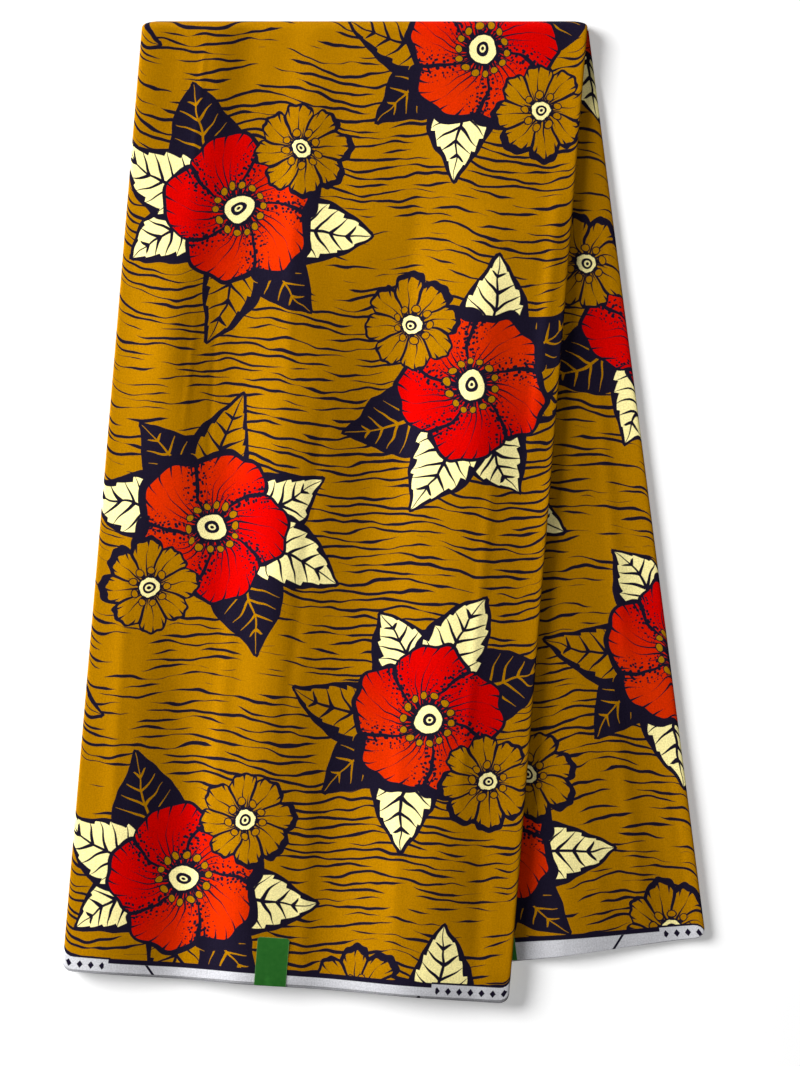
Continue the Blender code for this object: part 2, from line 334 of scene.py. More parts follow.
def turn_points(tail, across, angle, depth):
    """Points of the half round at the top, at angle 0 on the front tail and pi on the back tail."""
    x, _ = tail_plan(tail, across, TURN_START)
    y = np.full(np.shape(x), -TURN_START)
    side = np.maximum(0.0, 1 - from_side(across) / TOP_CORNER)
    reach = mix(TOP_CORNER_SHARE, 1.0, np.sqrt(1 - side * side)) * np.sin(angle)
    half = 1.0 if tail is FRONT else -1.0
    flat_height = TURN_RADIUS + (TURN_RADIUS - depth) * half
    unevenness = tail_height(tail, across, x, y, TURN_START, depth) - flat_height
    height = TURN_RADIUS + (TURN_RADIUS - depth) * np.cos(angle) + unevenness * np.cos(angle) ** 2
    x = mix(x, across / STRIP_WIDTH * FOLD_WIDTH, np.sin(angle))
    return x, y + TURN_PRESS * (TURN_RADIUS - depth) * reach, height


def strip_points(across, way, depth, past_hem=0.0):
    """Places of points of the folded strip, from the left end of the fold line."""
    across, way, depth, past_hem = np.broadcast_arrays(across, way, depth, past_hem)
    angle = np.clip(way, 0.0, 1.0) * math.pi
    x, y, z = tail_points(FRONT, across, np.maximum(0.0, -way), depth, past_hem)
    parts = (
        (way >= 0.0, turn_points(FRONT, across, angle, depth)),
        (way >= 0.5, turn_points(BACK, across, angle, depth)),
        (way > 1.0, tail_points(BACK, across, np.maximum(0.0, way - 1.0), depth, past_hem)),
    )
    for where, (part_x, part_y, part_z) in parts:
        x = np.where(where, part_x, x)
        y = np.where(where, part_y, y)
        z = np.where(where, part_z, z)
    x = x + corner_cut(-y, TOP_CORNER) * (1 - 2 * across / STRIP_WIDTH)
    return np.stack((x, y, z), axis=-1)


def cloth_place(across, way, layer):
    """(u, v) on the flat cloth: along its length, and from its front selvedge to its back one."""
    along = across if layer % 2 == 0 else STRIP_WIDTH - across
    front = tail_length(FRONT, across)
    back = tail_length(BACK, across)
    v = (front - TURN_START) * (1 - np.maximum(0.0, -way))
    v = v + np.clip(way, 0.0, 1.0) * 2 * TURN_START
    v = v + np.maximum(0.0, way - 1.0) * (back - TURN_START)
    return np.stack((layer * STRIP_WIDTH + along, v), axis=-1)


def middle_of_box():
    """The origin, which is the middle of the solids' box, from the left end of the fold line."""
    columns = strip_columns(0.0, 0.0)
    ways = strip_ways(ROW_STEP)
    points = strip_points(columns[None, :], ways[:, None], 0.0).reshape(-1, 3)
    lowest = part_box("outer_layer")[0]
    return points[:, 0].min() - lowest.x, points[:, 1].min() - lowest.y


def strip_columns(left_inset, right_inset):
    """Distances across the strip, closer together at its rounded sides."""
    *near, last = SIDE_STEPS
    steps = round((STRIP_WIDTH - 2 * last) / COLUMN_STEP)
    middle = np.linspace(last, STRIP_WIDTH - last, steps + 1)
    left = left_inset + np.array(near)
    right = STRIP_WIDTH - right_inset - np.array(near)[::-1]
    return np.concatenate((left, middle, right))


def tail_ways(step):
    """Shares of a tail's length from the turn to the hem, closer together at the hem."""
    *near, last = np.array(SIDE_STEPS) / FRONT.left.length
    shares = np.linspace(0.0, 1 - last, round(FRONT.left.length / step))[1:]
    return np.concatenate((shares, 1 - np.array(near)[::-1]))


def strip_ways(step):
    """Places along the strip from the front hem, up over the turn and down to the back hem."""
    tail = tail_ways(step)
    turn = np.linspace(0.0, 1.0, TURN_STEPS + 1)
    return np.concatenate((-tail[::-1], turn, 1 + tail))


def grid_faces(rows, columns, start=0):
    """Faces of a grid whose points are numbered row by row."""
    corner = start + np.arange(rows - 1)[:, None] * columns + np.arange(columns - 1)
    return corner.reshape(-1, 1) + np.array((0, 1, columns + 1, columns))


def add_mesh(name, points, faces, places, material):
    """An object of a mesh with its place on the flat cloth in a UV map."""
    mesh = bpy.data.meshes.new(name)
    mesh.from_pydata((points - ORIGIN).tolist(), [], faces.tolist())
    layer = mesh.uv_layers.new(name=PRINT_UV)
    corners = np.zeros(len(mesh.loops), dtype=np.int64)
    mesh.loops.foreach_get("vertex_index", corners)
    layer.data.foreach_set("uv", places[corners].astype(np.float32).ravel())
    mesh.shade_smooth()
    mesh.materials.append(material)
    piece = bpy.data.objects.new(name, mesh)
    bpy.context.scene.collection.objects.link(piece)
    RAKED.objects.link(piece)
    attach(piece, "root")
    return piece


def edge_rims(thick):
    """(inset, depth) of an edge as it turns under: half round, then back under the layer."""
    angles = np.linspace(0.0, math.pi, EDGE_ROUND_STEPS + 1)
    rims = [(thick / 2 * (1 - math.sin(angle)), thick / 2 * (1 - math.cos(angle))) for angle in angles]
    return rims + [(EDGE_DEPTH, thick)]


def add_edges(name, edges, flipped, material):
    """A mesh of rounded edges, each a list of rims: (across, way, depth, past_hem, layer)."""
    points, places, faces, total = [], [], [], 0
    for rims in edges:
        for across, way, depth, past_hem, layer in rims:
            points.append(strip_points(across, way, depth, past_hem))
            places.append(cloth_place(across, way, layer))
        count = len(points[-1])
        faces.append(grid_faces(len(rims), count, total))
        total += len(rims) * count
    faces = np.concatenate(faces)
    if flipped:
        faces = faces[:, ::-1]
    return add_mesh(name, np.concatenate(points), faces, np.concatenate(places), material)


def layer_past_hem(layer, tail, across):
    """How far a layer passes its hem, or falls short of it, as the folder left it."""
    slant = np.sin(layer * HEM_SLANT_STEP + across * HEM_SLANT_PER_METRE)
    uneven = HEM_UNEVEN * (math.sin(layer * HEM_STEP + 1) + HEM_SLANT * slant)
    if tail is FRONT:
        return uneven - (TOP_LAYER_SHORT if layer == 0 else 0.0)
    show = BACK_LAYERS_SHOW * (1 - smooth(across / STRIP_WIDTH))
    return uneven + show * (LAYERS - 1 - layer) / LAYERS


def add_face(name, tail, layer, ways, material):
    """A tail's outer or inner layer, which shows. Its left side is a fold, its right side and its
    hem are single edges, and all three are turned under."""
    inwards, surface = (1.0, 0.0) if layer == 0 else (-1.0, STACK)
    folded = edge_rims(PITCH + CLOTH_THICK)
    single = edge_rims(CLOTH_THICK)
    hem = np.sign(ways[0])
    hem_way = hem * (1.0 if tail is FRONT else 2.0)
    hem_length = tail_length(tail, STRIP_WIDTH / 2)
    ways = ways.copy()
    ways[0] -= hem * single[0][0] / hem_length
    columns = strip_columns(folded[0][0], single[0][0])
    across_grid, way_grid = np.meshgrid(columns, ways)
    rows, count = across_grid.shape
    past_hem = layer_past_hem(layer, tail, across_grid)
    points = [strip_points(across_grid, way_grid, surface, past_hem).reshape(-1, 3)]
    places = [cloth_place(across_grid, way_grid, layer).reshape(-1, 2)]
    faces = [grid_faces(rows, count)]
    # Down the left side, along the hem and up the right side
    numbers = np.arange(rows * count).reshape(rows, count)
    ring = np.concatenate((numbers[:0:-1, 0], numbers[0], numbers[1:, -1]))
    row, column = np.divmod(ring, count)
    across = across_grid.ravel()[ring]
    way = way_grid.ravel()[ring]
    on_hem = row == 0
    on_left = (column == 0) & ~on_hem
    on_right = column == count - 1
    total = rows * count
    for (left_inset, left_depth), (inset, depth) in zip(folded[1:], single[1:]):
        rim_across = np.where(on_right, STRIP_WIDTH, np.where(on_left, 0.0, across))
        rim_across = np.clip(rim_across, left_inset, STRIP_WIDTH - inset)
        inner_way = hem_way - hem * inset / hem_length
        rim_way = np.maximum(way, inner_way) if hem < 0 else np.minimum(way, inner_way)
        rim_way = np.where(on_hem, inner_way, rim_way)
        rim_depth = surface + inwards * np.where(on_left, left_depth, depth)
        rim_past_hem = layer_past_hem(layer, tail, rim_across)
        points.append(strip_points(rim_across, rim_way, rim_depth, rim_past_hem))
        places.append(cloth_place(rim_across, rim_way, layer))
        inner_ring = total + np.arange(len(ring))
        faces.append(np.stack((ring[:-1], inner_ring[:-1], inner_ring[1:], ring[1:]), axis=-1))
        ring = inner_ring
        total += len(ring)
    faces = np.concatenate(faces)
    if (layer == 0) != (tail is FRONT):
        faces = faces[:, ::-1]
    return add_mesh(name, np.concatenate(points), faces, np.concatenate(places), material)


def add_side_folds(name, left, pairs, material):
    """Folds of pairs of hidden layers along a side of the strip, round the turn as well."""
    ways = strip_ways(EDGE_ROW_STEP)
    thick = PITCH + CLOTH_THICK
    edges = []
    for upper in pairs:
        top = (upper + 0.5) * PITCH - CLOTH_THICK / 2
        uneven = SIDE_UNEVEN * (1 + math.sin(upper * SIDE_STEP))
        waver = SIDE_WAVER * np.sin(ways * SIDE_WAVERS + upper)
        rims = []
        for inset, below in [(EDGE_DEPTH, 0.0)] + edge_rims(thick):
            inset = inset + uneven + waver
            across = inset if left else STRIP_WIDTH - inset
            layer = upper + 1 if below > thick / 2 else upper
            rims.append((across, ways, top + below, 0.0, layer))
        edges.append(rims)
    return add_edges(name, edges, not left, material)


def add_hem_edges(name, tail, layers, material):
    """Edges of the hidden layers at a tail's hem, one on the other, none quite as long."""
    columns = strip_columns(0.0, 0.0)
    edges = []
    for layer in layers:
        top = (layer + 0.5) * PITCH - CLOTH_THICK / 2
        past_hem = layer_past_hem(layer, tail, columns)
        rims = []
        for inset, below in [(EDGE_DEPTH, 0.0)] + edge_rims(CLOTH_THICK):
            way = inset / FRONT.left.length - 1 if tail is FRONT else 2 - inset / BACK.left.length
            rims.append((columns, np.full(len(columns), way), top + below, past_hem, layer))
        edges.append(rims)
    return add_edges(name, edges, tail is FRONT, material)


def add_label(name, tail, left, layer, material):
    """A paper label on a hem, a thin closed sheet with rounded inner corners."""
    outwards, surface = (-1.0, 0.0) if layer == 0 else (1.0, STACK)
    hem, hem_way = (-1.0, -1.0) if tail is FRONT else (1.0, 2.0)
    columns = np.linspace(0.0, LABEL_WIDTH, LABEL_COLUMNS)
    across, share = np.meshgrid(columns, np.linspace(0.0, 1.0, LABEL_ROWS))
    side = np.minimum(across, LABEL_WIDTH - across)
    up = share * (LABEL_LENGTH - corner_cut(side, LABEL_CORNER))
    way = hem_way - hem * up / (tail_length(tail, left + LABEL_WIDTH / 2) - TURN_START)
    curled = smooth((share - LABEL_CURL_START) / (1 - LABEL_CURL_START))
    curled = curled * smooth(across / LABEL_WIDTH) ** 2
    points = []
    for lift in (LABEL_GAP, LABEL_GAP + LABEL_THICK):
        depth = surface + outwards * lift
        face = strip_points(left + across, way, depth).reshape(-1, 3)
        face[:, 2] += LABEL_CURL * curled.ravel()
        points.append(face)
    sheet = grid_faces(LABEL_ROWS, LABEL_COLUMNS)
    count = across.size
    numbers = np.arange(count).reshape(across.shape)
    ring = (numbers[:-1, 0], numbers[-1, :-1], numbers[:0:-1, -1], numbers[0, :0:-1])
    ring = np.concatenate(ring)
    after = np.roll(ring, -1)
    walls = np.stack((ring, ring + count, after + count, after), axis=-1)
    faces = np.concatenate((sheet[:, ::-1], sheet + count, walls))
    place = np.stack((across, up), axis=-1).reshape(-1, 2)
    piece = add_mesh(name, np.concatenate(points), faces, np.concatenate((place, place)), material)
    piece.data.set_sharp_from_angle(angle=LABEL_RIM_ANGLE)
    return piece


class Field:
    """A number that varies over the surface. Arithmetic on it adds math nodes to its tree."""

    def __init__(self, tree, socket):
        self.tree = tree
        self.socket = socket

    def math(self, operation, *others, clamp=False):
        node = self.tree.nodes.new("ShaderNodeMath")
        node.operation = operation
        node.use_clamp = clamp
        for place, value in zip(node.inputs, (self, *others)):
            plug(self.tree, place, value)
        return Field(self.tree, node.outputs[0])

    def __add__(self, other):
        return self.math("ADD", other)

    def __sub__(self, other):
        return self.math("SUBTRACT", other)

    def __mul__(self, other):
        return self.math("MULTIPLY", other)

    def __truediv__(self, other):
        return self.math("DIVIDE", other)

    def __rsub__(self, other):
        return self.math("MULTIPLY_ADD", -1.0, other)

    def __abs__(self):
        return self.math("ABSOLUTE")

    def __pow__(self, other):
        return self.math("POWER", other)

    def times_plus(self, factor, offset, clamp=False):
        return self.math("MULTIPLY_ADD", factor, offset, clamp=clamp)

    def lesser(self, other):
        return self.math("MINIMUM", other)

    def greater(self, other):
        return self.math("MAXIMUM", other)

    def fraction(self):
        return self.math("FRACT")

    def whole(self):
        return self.math("FLOOR")

    def sine(self):
        return self.math("SINE")

    def cosine(self):
        return self.math("COSINE")


def plug(tree, place, value):
    """Sets a socket from a field, a socket or a plain value."""
    if isinstance(value, Field):
        value = value.socket
    if isinstance(value, bpy.types.NodeSocket):
        tree.links.new(value, place)
    else:
        place.default_value = value


def add_node(tree, kind, settings=None, inputs=None):
    """A shader node with its settings, and its inputs by name or number."""
    node = tree.nodes.new(kind)
    for name, value in (settings or {}).items():
        setattr(node, name, value)
    for name, value in (inputs or {}).items():
        plug(tree, node.inputs[name], value)
    return node


def combine(tree, x, y, z=0.0):
    return add_node(tree, "ShaderNodeCombineXYZ", inputs={"X": x, "Y": y, "Z": z}).outputs[0]


def separate(tree, vector):
    node = add_node(tree, "ShaderNodeSeparateXYZ", inputs={"Vector": vector})
    return Field(tree, node.outputs["X"]), Field(tree, node.outputs["Y"])


def placed(tree, point, at, turn):
    """(x, y) of the point in the frame of a motif at that place, turned by that many degrees."""
    inputs = {"Vector": point, "Location": (*at, 0.0), "Rotation": (0.0, 0.0, math.radians(turn))}
    node = add_node(tree, "ShaderNodeMapping", {"vector_type": "TEXTURE"}, inputs)
    return separate(tree, node.outputs[0])


def mixed(tree, share, first, second):
    """A colour, share of the way from the first to the second."""
    node = tree.nodes.new("ShaderNodeMix")
    node.data_type = "RGBA"
    plug(tree, node.inputs[0], share)
    for place, value in zip(node.inputs[6:8], (first, second)):
        if isinstance(value, tuple):
            value = (*value, 1.0)
        plug(tree, place, value)
    return node.outputs[2]


def noise(tree, vector, scale, detail=0.0, dimensions="2D"):
    """A noise node. Its first output is a number from 0 to 1, and its second a colour."""
    inputs = {"Vector": vector, "Scale": scale, "Detail": detail, "Roughness": 0.5}
    return add_node(tree, "ShaderNodeTexNoise", {"noise_dimensions": dimensions}, inputs)


def noise_field(tree, vector, scale, detail=0.0, dimensions="2D"):
    """The number of a noise node."""
    return Field(tree, noise(tree, vector, scale, detail, dimensions).outputs[0])


# The print's colours
OCHRE = (0.303, 0.131, 0.0002)
RED = (0.47, 0.0008, 0.0002)
VERMILION = (0.49, 0.020, 0.0002)
CREAM = (0.79, 0.70, 0.31)
INDIGO = (0.008, 0.006, 0.015)
SELVEDGE_WHITE = (0.46, 0.46, 0.485)

# The print, in centimetres on the flat cloth. All of it wobbles a little, as drawn lines do
DYE_EDGE = 0.028
WOBBLE = 0.5
WOBBLE_SCALE = 0.55

# The sprays repeat along the cloth's length and across its width, with one between each four
REPEAT = (29.0, 20.6)
REPEAT_SHIFT = (7.4, 3.5)

# The waves of the ground run in rows, which swell and drift, and break into dashes
WAVE_STEP = 0.53
WAVE_LENGTH = 5.4
WAVE_HEIGHT = 0.20
WAVE_TURN_A_ROW = 2.4
WAVE_HALF_LINE = 0.090
SWELL_LENGTH = 10.8
SWELL_HEIGHT = 0.30
DRIFT = 1.6
DRIFT_SCALE = 0.14
DASH_SCALE = 0.36
DASH_SHIFT_A_ROW = (3.1, 7.31)
DASH_TAPER = 5.0
DASH_GAPS = 2.68
THINNEST_DASH = 0.02

# Outlines are wider on the shaded side of each motif: by centimetres on a leaf, and by a share of
# its radius on a flower
SHADED_WAY = math.radians(242)
LEAF_SHADE = 0.30
FLOWER_SHADE = 0.1067

# A leaf's half width follows t ** LEAF_BASE * (1 - t) ** LEAF_TIP, which is LEAF_MOST at its widest
LEAF_BASE = 0.6
LEAF_TIP = 1.1
LEAF_MOST = 0.331
LEAF_OUTLINE = 0.22
LEAF_END_SLANT = 0.8
SHADE_RISE = 1.5
SHADE_END = 3.0
LEAF_TEETH = 7
TOOTH_DEPTH = 0.17
LEAF_VEINS = 7
VEIN_SLANT = 0.8
VEIN_TAPER_END = 0.012
VEIN_TIP_FADE = 9.0
LAST_VEIN = 0.84
MIDRIB = 1.15
MIDRIB_END = 0.02
VEIN_LINE = 0.135
PALE_VEIN_LINE = 0.09
Leaf = namedtuple("Leaf", "at turn length width bend fill")
LEAVES = (
    Leaf(at=(-1.0, -1.0), turn=215, length=6.7, width=1.9, bend=-0.6, fill=INDIGO),
    Leaf(at=(1.0, 1.0), turn=22, length=6.4, width=2.0, bend=0.5, fill=INDIGO),
    Leaf(at=(-1.5, 0.2), turn=172, length=7.3, width=1.7, bend=0.6, fill=OCHRE),
    Leaf(at=(-0.8, -1.5), turn=264, length=6.7, width=1.9, bend=-0.4, fill=CREAM),
    Leaf(at=(-1.2, 1.2), turn=118, length=5.8, width=1.9, bend=-0.5, fill=CREAM),
    Leaf(at=(0.2, 1.5), turn=70, length=6.6, width=2.0, bend=0.5, fill=CREAM),
)

# A flower's petals, with notches and seams between them, ruffled edges and veins
NOTCH_DEPTH = 1.15
NOTCH_POWER = 2.6
RUFFLE = 0.020
RUFFLES_A_PETAL = 3
SEAM_LINE = 0.03
SEAM_WIDENS = 0.030
PETAL_VEIN_LINE = 0.1
PETAL_VEIN_REACH = 0.86
EDGE_VEIN_LINE = 0.075
EDGE_VEIN_TAPER = 0.5
DOTS_PER_CM = 3.6
DOT_SIZE = 0.38
DOT_SHRINKS = 1.4
PALE_FROM = 0.35
PALE_RISE = 1.1
Flower = namedtuple("Flower", "at turn radius petals fill veins curl outline dotted eye stamens")
FLOWERS = (
    Flower(
        at=(-0.5, 0.0), turn=10, radius=4.5, petals=5, fill=RED, veins=7,
        curl=0.45, outline=0.22, dotted=True, eye=1.0, stamens=14,
    ),
    Flower(
        at=(3.4, -3.5), turn=40, radius=2.7, petals=8, fill=OCHRE, veins=3,
        curl=0.2, outline=0.18, dotted=False, eye=0.7, stamens=9,
    ),
)

# A flower's eye, in shares of its radius, with lines and heads in centimetres
EYE_RIM = 0.84
SEEDS_REACH = 0.50
SEED_RINGS_PER_CM = 3.2
SEED_LINE = 0.05
HEAD_RING = 1.45
HEAD_RADIUS = 0.20
STALK_RING = 1.2
STALK_REACH = 0.3
STALK_HALF_LINE = 0.035
STAMEN_OUTLINE = 0.07


def inside(distance):
    """1 inside a shape, 0 outside, with a slightly soft edge as dye has."""
    return distance.times_plus(-1.0 / DYE_EDGE, 0.5, clamp=True)


def stripes(value):
    """The distance from the middle of even stripes one unit apart."""
    return abs(value.fraction() - 0.5)


def paint_leaf(tree, colour, point, leaf):
    """A toothed, bent leaf with a midrib and slanted side veins. A dark one has pale veins."""
    dark = leaf.fill == INDIGO
    vein_line = PALE_VEIN_LINE if dark else VEIN_LINE
    x, y = placed(tree, point, leaf.at, leaf.turn)
    t = x.times_plus(1.0 / leaf.length, 0.0, clamp=True)
    rest = 1.0 - t
    y = y - t * rest * (4.0 * leaf.bend)
    side = abs(y)
    half = (t ** LEAF_BASE) * (rest ** LEAF_TIP) * (leaf.width / LEAF_MOST)
    ends = abs(x - leaf.length / 2) - leaf.length / 2
    shaded = math.sin(SHADED_WAY - math.radians(leaf.turn)) * LEAF_SHADE
    shade = y.times_plus(SHADE_RISE, 0.5, clamp=True).times_plus(shaded, max(0.0, -shaded))
    outline = side - half - shade * (rest * SHADE_END).lesser(1.0)
    outline = outline.greater(ends + side * LEAF_END_SLANT)
    colour = mixed(tree, inside(outline - LEAF_OUTLINE), colour, INDIGO)
    edge = side - half * (t * LEAF_TEETH).fraction().times_plus(TOOTH_DEPTH, 1 - TOOTH_DEPTH)
    blade = inside(edge.greater(ends))
    slant = (x - side * VEIN_SLANT) * (LEAF_VEINS / leaf.length)
    taper = (side / half.greater(0.01)).times_plus(-vein_line, vein_line + VEIN_TAPER_END)
    taper = taper * (rest * VEIN_TIP_FADE).lesser(1.0)
    side_veins = stripes(slant) * (leaf.length / LEAF_VEINS) - taper
    side_veins = side_veins.greater((t - LAST_VEIN) * leaf.length)
    veins = inside(side_veins.lesser(side - rest * (vein_line * MIDRIB) - MIDRIB_END))
    if dark:
        return mixed(tree, blade * veins, colour, OCHRE)
    return mixed(tree, blade * (1.0 - veins), colour, leaf.fill)


def paint_flower(tree, colour, point, flower):
    """An open flower with curled, veined petals. A dotted one is paler on its shaded side."""
    radius, petals = flower.radius, flower.petals
    x, y = placed(tree, point, flower.at, flower.turn)
    r = (x * x + y * y) ** 0.5
    angle = y.math("ARCTAN2", x) * (1.0 / (2 * math.pi))
    swirl = angle * petals + r * (flower.curl / radius)
    sector = stripes(swirl)
    ruffle = (angle * (2 * math.pi * petals * RUFFLES_A_PETAL)).sine()
    edge = r + (sector ** NOTCH_POWER) * (NOTCH_DEPTH * radius) + ruffle * (RUFFLE * radius) - radius
    way = SHADED_WAY - math.radians(flower.turn)
    shaded = x * math.cos(way) + y * math.sin(way)
    outline = edge - (shaded / r).greater(0.0) * (FLOWER_SHADE * radius)
    colour = mixed(tree, inside(outline - flower.outline), colour, INDIGO)
    arc = r * (2 * math.pi / petals)
    seam = (0.5 - sector) * arc - (r * SEAM_WIDENS + SEAM_LINE)
    vein = stripes(swirl * flower.veins) * (arc * (1.0 / flower.veins))
    reach = sector.times_plus(-radius, PETAL_VEIN_REACH * radius)
    from_middle = (r / reach).times_plus(-PETAL_VEIN_LINE, PETAL_VEIN_LINE)
    from_edge = (edge * (1.0 / radius)).times_plus(EDGE_VEIN_TAPER, EDGE_VEIN_LINE)
    lines = (vein - from_middle.greater(from_edge)).lesser(seam)
    fill = flower.fill
    if flower.dotted:
        pale = shaded.times_plus(PALE_RISE / radius, PALE_FROM, clamp=True)
        fill = mixed(tree, pale, fill, VERMILION)
        inputs = {"Vector": combine(tree, x, y), "Scale": DOTS_PER_CM}
        cells = add_node(tree, "ShaderNodeTexVoronoi", {"voronoi_dimensions": "2D"}, inputs)
        size = (seam * (1.0 / radius)).times_plus(-DOT_SHRINKS, DOT_SIZE)
        lines = lines.lesser((Field(tree, cells.outputs["Distance"]) - size) * (1.0 / DOTS_PER_CM))
    colour = mixed(tree, inside(edge) * (1.0 - inside(lines)), colour, fill)
    return paint_eye(tree, colour, r, angle, flower)


def paint_eye(tree, colour, r, angle, flower):
    """The flower's eye: rings, and a circle of stamens with round heads."""
    radius = flower.eye
    colour = mixed(tree, inside(r - radius), colour, INDIGO)
    colour = mixed(tree, inside(r - radius * EYE_RIM), colour, CREAM)
    around = stripes(angle * flower.stamens) * (r * (2 * math.pi / flower.stamens))
    outwards = r - radius * HEAD_RING
    head = (outwards * outwards + around * around) ** 0.5 - HEAD_RADIUS
    stalk = (around - STALK_HALF_LINE).greater(abs(r - radius * STALK_RING) - radius * STALK_REACH)
    colour = mixed(tree, inside(stalk.lesser(head) - STAMEN_OUTLINE), colour, INDIGO)
    colour = mixed(tree, inside(head), colour, OCHRE)
    seeds = stripes(r * SEED_RINGS_PER_CM) * (1 / SEED_RINGS_PER_CM)
    return mixed(tree, inside((r - radius * SEEDS_REACH).greater(SEED_LINE - seeds)), colour, INDIGO)


def nearest_spray(tree, cloth):
    """The place in the frame of the nearest spray. Two lattices of sprays lie one between the
    other's, and the sprays are turned four ways."""
    x, y = separate(tree, cloth)
    x, y = x + REPEAT_SHIFT[0], y + REPEAT_SHIFT[1]
    w, h = REPEAT
    ax = ((x * (1 / w)).fraction() - 0.5) * w
    ay = ((y * (1 / h)).fraction() - 0.5) * h
    bx = (x.times_plus(1 / w, 0.5).fraction() - 0.5) * w
    by = (y.times_plus(1 / h, 0.5).fraction() - 0.5) * h
    nearer = (bx * bx + by * by) - (ax * ax + ay * ay)
    first = nearer.math("GREATER_THAN", 0.0)
    px = bx + first * (ax - bx)
    py = by + first * (ay - by)
    # The quarters keep rounding from changing the numbers of the spray's column and row
    column = (x - px).times_plus(1 / w, 0.25).whole()
    row = (y - py).times_plus(1 / h, 0.25).whole()
    odd = ((column + row) * 0.5).fraction() * 2.0
    turn = odd * math.pi + first * (math.pi / 2)
    along, over = turn.cosine(), turn.sine()
    return combine(tree, px * along + py * over, py * along - px * over)


def paint_waves(tree, cloth):
    """Rows of small waves, broken into dashes that taper at their ends."""
    x, y = separate(tree, cloth)
    swell = (x * (2 * math.pi / SWELL_LENGTH)).sine() * SWELL_HEIGHT
    drift = noise_field(tree, cloth, DRIFT_SCALE)
    rows = (y + swell) * (1 / WAVE_STEP) + drift * DRIFT
    number = rows.whole()
    ripple = (x * (2 * math.pi / WAVE_LENGTH) + number * WAVE_TURN_A_ROW).sine() * WAVE_HEIGHT
    offset = abs(rows.fraction() - 0.5 + ripple) * WAVE_STEP
    shift_x, shift_y = DASH_SHIFT_A_ROW
    place = combine(tree, x * DASH_SCALE + number * shift_x, number * shift_y)
    dash = noise_field(tree, place, 1.0, 1.0)
    taper = (dash * DASH_TAPER + drift * DRIFT).times_plus(1.0, -DASH_GAPS, clamp=True)
    return inside(offset - taper * WAVE_HALF_LINE) * taper.math("GREATER_THAN", THINNEST_DASH)


def paint_print(tree, cloth):
    """The print's colour at a place on the flat cloth."""
    wobble = noise(tree, cloth, WOBBLE_SCALE, 1.0).outputs["Color"]
    inputs = {0: wobble, 1: (WOBBLE, WOBBLE, 0.0), 2: cloth}
    cloth = add_node(tree, "ShaderNodeVectorMath", {"operation": "MULTIPLY_ADD"}, inputs).outputs[0]
    spray = nearest_spray(tree, cloth)
    colour = mixed(tree, paint_waves(tree, cloth), OCHRE, INDIGO)
    for leaf in LEAVES:
        colour = paint_leaf(tree, colour, spray, leaf)
    for flower in FLOWERS:
        colour = paint_flower(tree, colour, spray, flower)
    return colour


# The selvedges, in centimetres: a white strip with a dark line above it, and taller white boxes with
# a row of lozenges in each, and a slanted tick between the boxes
WHITE_STRIP = 0.55
DARK_LINE = 0.30
BOX_REPEAT = STRIP_WIDTH * 100
BOX_START = 22.4
BOX_LENGTH = 7.5
BOX_HEIGHT = 0.78
BOX_OUTLINE = 0.12
LOZENGE_STEP = 0.68
LOZENGE_HALF = 0.19
LOZENGE_MIDDLE = 0.37
LOZENGE_SQUASH = 0.8
LOZENGES_INSET = 0.25
TICK_PLACE = 5.5
TICK_LEAN = 0.8
TICK_HALF_LINE = 0.09


def paint_selvedge(tree, colour, cloth):
    """The two selvedges, with plain lozenges in their boxes."""
    x, y = separate(tree, cloth)
    edge = y.lesser(CLOTH_WIDTH * 100 - y)
    strip = edge - WHITE_STRIP
    along = ((x - BOX_START) * (1 / BOX_REPEAT)).fraction() * BOX_REPEAT
    ends = abs(along - BOX_LENGTH / 2) - BOX_LENGTH / 2
    box = ends.greater(edge - BOX_HEIGHT)
    colour = mixed(tree, inside((box - BOX_OUTLINE).lesser(strip - DARK_LINE)), colour, INDIGO)
    colour = mixed(tree, inside(box.lesser(strip)), colour, SELVEDGE_WHITE)
    past_tick = (x * (1 / BOX_REPEAT)).fraction() * BOX_REPEAT + edge * TICK_LEAN - TICK_PLACE
    colour = mixed(tree, inside((abs(past_tick) - TICK_HALF_LINE).greater(strip)), colour, INDIGO)
    from_middle = abs(edge - LOZENGE_MIDDLE) * LOZENGE_SQUASH
    lozenge = stripes(along * (1 / LOZENGE_STEP)) * LOZENGE_STEP + from_middle - LOZENGE_HALF
    return mixed(tree, inside(lozenge.greater(ends + LOZENGES_INSET)), colour, INDIGO)


def new_material(name):
    """A material, its tree of nodes and its shader."""
    material = bpy.data.materials.new(name)
    material.use_nodes = True
    tree = material.node_tree
    return material, tree, tree.nodes["Principled BSDF"]


def cloth_uv(tree, scale):
    """The place on the flat cloth, in centimetres for a scale of 100."""
    uv = add_node(tree, "ShaderNodeUVMap", {"uv_map": PRINT_UV})
    inputs = {0: uv.outputs[0], 1: (scale, scale, 0.0)}
    return add_node(tree, "ShaderNodeVectorMath", {"operation": "MULTIPLY"}, inputs).outputs[0]


def add_bump(tree, shader, strength, distance, height):
    inputs = {"Strength": strength, "Distance": distance, "Height": height}
    plug(tree, shader.inputs["Normal"], add_node(tree, "ShaderNodeBump", inputs=inputs).outputs[0])


# The cotton: fine threads, with slubs along both ways, dye that took unevenly, and flecks
THREADS_PER_CM = 22.0
SLUB_SCALES = (9.0, 1.2)
DYE_SCALE = 0.16
FLECK_SCALE = 11.0
EVEN_SHARE = 0.575
DYE_SHARE = 0.16
SLUB_SHARE = 0.13
FLECK_SHARE = 0.52
WEAVE_SHARE = 0.035
# The inner layers' copy of the cotton is darker all over: painted shade
INNER_SHADE_TONE = 0.88
# The hems' edges are darker still: painted shade
HEM_SHADE_TONE = 0.60
COTTON_BUMP = (0.35, 0.00012)
WEAVE_BUMP = 0.5
SLUB_BUMP = 0.7

